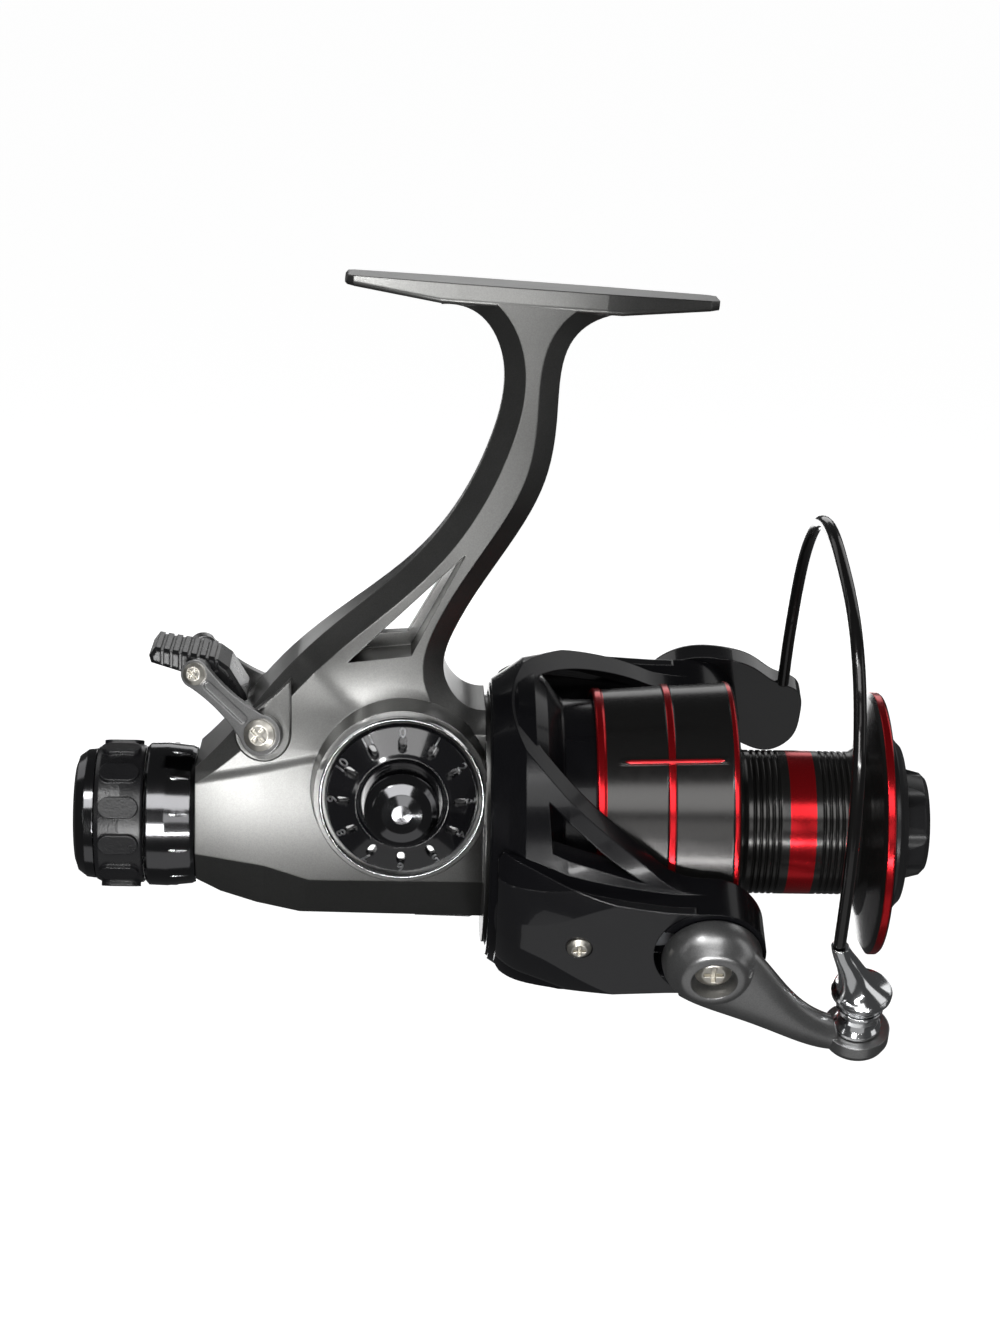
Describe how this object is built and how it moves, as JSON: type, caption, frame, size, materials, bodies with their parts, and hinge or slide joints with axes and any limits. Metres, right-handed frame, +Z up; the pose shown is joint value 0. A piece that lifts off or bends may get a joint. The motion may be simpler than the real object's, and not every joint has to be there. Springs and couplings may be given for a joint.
{
  "type": "fishing reel",
  "caption": "Fixed-spool fishing reel with a bail arm, a notched dial on its side, a rear tension knob and a free-spool lever, for clamping under a rod.",
  "frame": {"origin": "centre of the top face of the foot, which lies against the rod", "axes": "+X along the main shaft towards the spool, +Z up towards the rod, +Y towards the handle side"},
  "size_m": [0.1656, 0.1378, 0.144],
  "materials": {
    "body_paint": "graphite-filled, satin gunmetal paint",
    "rotor_black": "gloss black",
    "cover_black": "high gloss black",
    "spool_black": "black anodised with red anodised bands",
    "bail_paint": "satin dark gunmetal",
    "wire_black": "gloss black coated",
    "chrome": "polished",
    "screw_steel": "nickel-plated",
    "steel": "ground",
    "brass": "machined",
    "zinc": "die-cast",
    "dial_black": "high gloss black",
    "dark_chrome": "black chrome",
    "rubber": "matte ribbed",
    "knob_black": "satin black",
    "nylon": "off-white moulded",
    "fibre": "oiled fibre"
  },
  "bodies": {
    "body": {"housing": "body_paint", "side_cover": "body_paint", "cover_screws": "screw_steel", "drive_bearings": "steel", "pinion_bearing": "steel", "one_way_clutch": "steel", "clutch_plate": "steel", "clutch_plate_screws": "screw_steel", "guide_rods": "steel", "dial_trim_ring": "chrome", "rear_collar": "dark_chrome", "tension_sleeve": "zinc", "tension_washers": "fibre", "tension_spring": "steel"},
    "crank": {"drive_gear": "zinc", "oscillation_pinion": "nylon", "handle_bolt_dial": "dial_black", "dial_dome": "dark_chrome", "handle_shank": "bail_paint", "handle_arm": "bail_paint", "knob_spindle": "steel"},
    "handle_knob": {"handle_knob": "rubber", "knob_cap": "dark_chrome"},
    "oscillation_gear": {"oscillation_gear": "nylon"},
    "rotor": {"rotor": "rotor_black", "arm_cover_near": "cover_black", "arm_cover_far": "cover_black", "arm_cover_screws": "screw_steel", "pinion": "brass", "clutch_sleeve": "steel", "rotor_nut": "brass", "bail_pivot_screws": "screw_steel", "bail_spring": "steel"},
    "bail": {"bail_arm": "bail_paint", "bail_lever": "cover_black", "bail_wire": "wire_black", "wire_cone": "chrome", "roller_pin": "steel"},
    "line_roller": {"line_roller": "chrome"},
    "trip_lever": {"bail_trip_lever": "zinc"},
    "shaft": {"main_shaft": "steel", "oscillation_slider": "zinc", "click_wheel": "nylon", "drag_washers_metal": "steel"},
    "spool": {"spool": "spool_black", "click_pawl": "steel", "drag_washers_fibre": "fibre", "drag_washer_clip": "steel"},
    "drag_knob": {"drag_knob": "knob_black", "drag_nut": "brass", "drag_knob_pin": "dark_chrome"},
    "rear_knob": {"rear_knob_grip": "rubber", "rear_knob_cap": "dark_chrome"},
    "feeder_lever": {"lever_pad": "rubber", "lever_links": "dark_chrome", "lever_screws": "screw_steel", "lever_cross_shaft": "steel", "lever_cam": "zinc"},
    "anti_reverse": {"anti_reverse_lever": "knob_black"}
  },
  "joints": [
    {"name": "crank_turn", "type": "hinge", "parent": "body", "child": "crank", "pos_m": [-0.023, 0, -0.094], "axis": [0, 1, 0], "continuous": true},
    {"name": "knob_spin", "type": "hinge", "parent": "crank", "child": "handle_knob", "pos_m": [0.02723, 0, -0.10746], "axis": [0, 1, 0], "continuous": true},
    {"name": "oscillation_turn", "type": "hinge", "parent": "body", "child": "oscillation_gear", "pos_m": [-0.0406, 0, -0.09777], "axis": [0, 1, 0], "continuous": true},
    {"name": "rotor_spin", "type": "hinge", "parent": "body", "child": "rotor", "pos_m": [0, 0, -0.1037], "axis": [1, 0, 0], "continuous": true},
    {"name": "shaft_slide", "type": "slide", "parent": "body", "child": "shaft", "axis": [1, 0, 0], "range_m": [0, 0.0168]},
    {"name": "spool_spin", "type": "hinge", "parent": "shaft", "child": "spool", "pos_m": [0, 0, -0.1037], "axis": [1, 0, 0], "continuous": true},
    {"name": "drag_knob_turn", "type": "hinge", "parent": "shaft", "child": "drag_knob", "pos_m": [0, 0, -0.1037], "axis": [1, 0, 0], "range_deg": [-360, 360]},
    {"name": "rear_knob_turn", "type": "hinge", "parent": "body", "child": "rear_knob", "pos_m": [-0.076, 0, -0.1037], "axis": [1, 0, 0], "range_deg": [-270, 270]},
    {"name": "bail_open", "type": "hinge", "parent": "rotor", "child": "bail", "pos_m": [0.035, 0, -0.1037], "axis": [0, 0.8988, 0.4384], "range_deg": [0, 110]},
    {"name": "roller_spin", "type": "hinge", "parent": "bail", "child": "line_roller", "pos_m": [0.064, -0.02677, -0.13367], "axis": [0, -0.4384, 0.8988], "continuous": true},
    {"name": "trip_turn", "type": "hinge", "parent": "rotor", "child": "trip_lever", "pos_m": [0.019, -0.02876, -0.11773], "axis": [0, 0.8988, 0.4384], "range_deg": [-12, 0]},
    {"name": "feeder_lever_turn", "type": "hinge", "parent": "body", "child": "feeder_lever", "pos_m": [-0.0493, 0, -0.0837], "axis": [0, -1, 0], "range_deg": [0, 25]},
    {"name": "anti_reverse_turn", "type": "hinge", "parent": "body", "child": "anti_reverse", "pos_m": [-0.017, 0, -0.1215], "axis": [0, 0, 1], "range_deg": [0, 30]}
  ],
  "couplings": [
    {"joint": "oscillation_turn", "follows": "crank_turn", "ratio": -0.5},
    {"joint": "rotor_spin", "follows": "crank_turn", "ratio": -5},
    {"joint": "trip_turn", "follows": "bail_open", "ratio": -0.1}
  ]
}
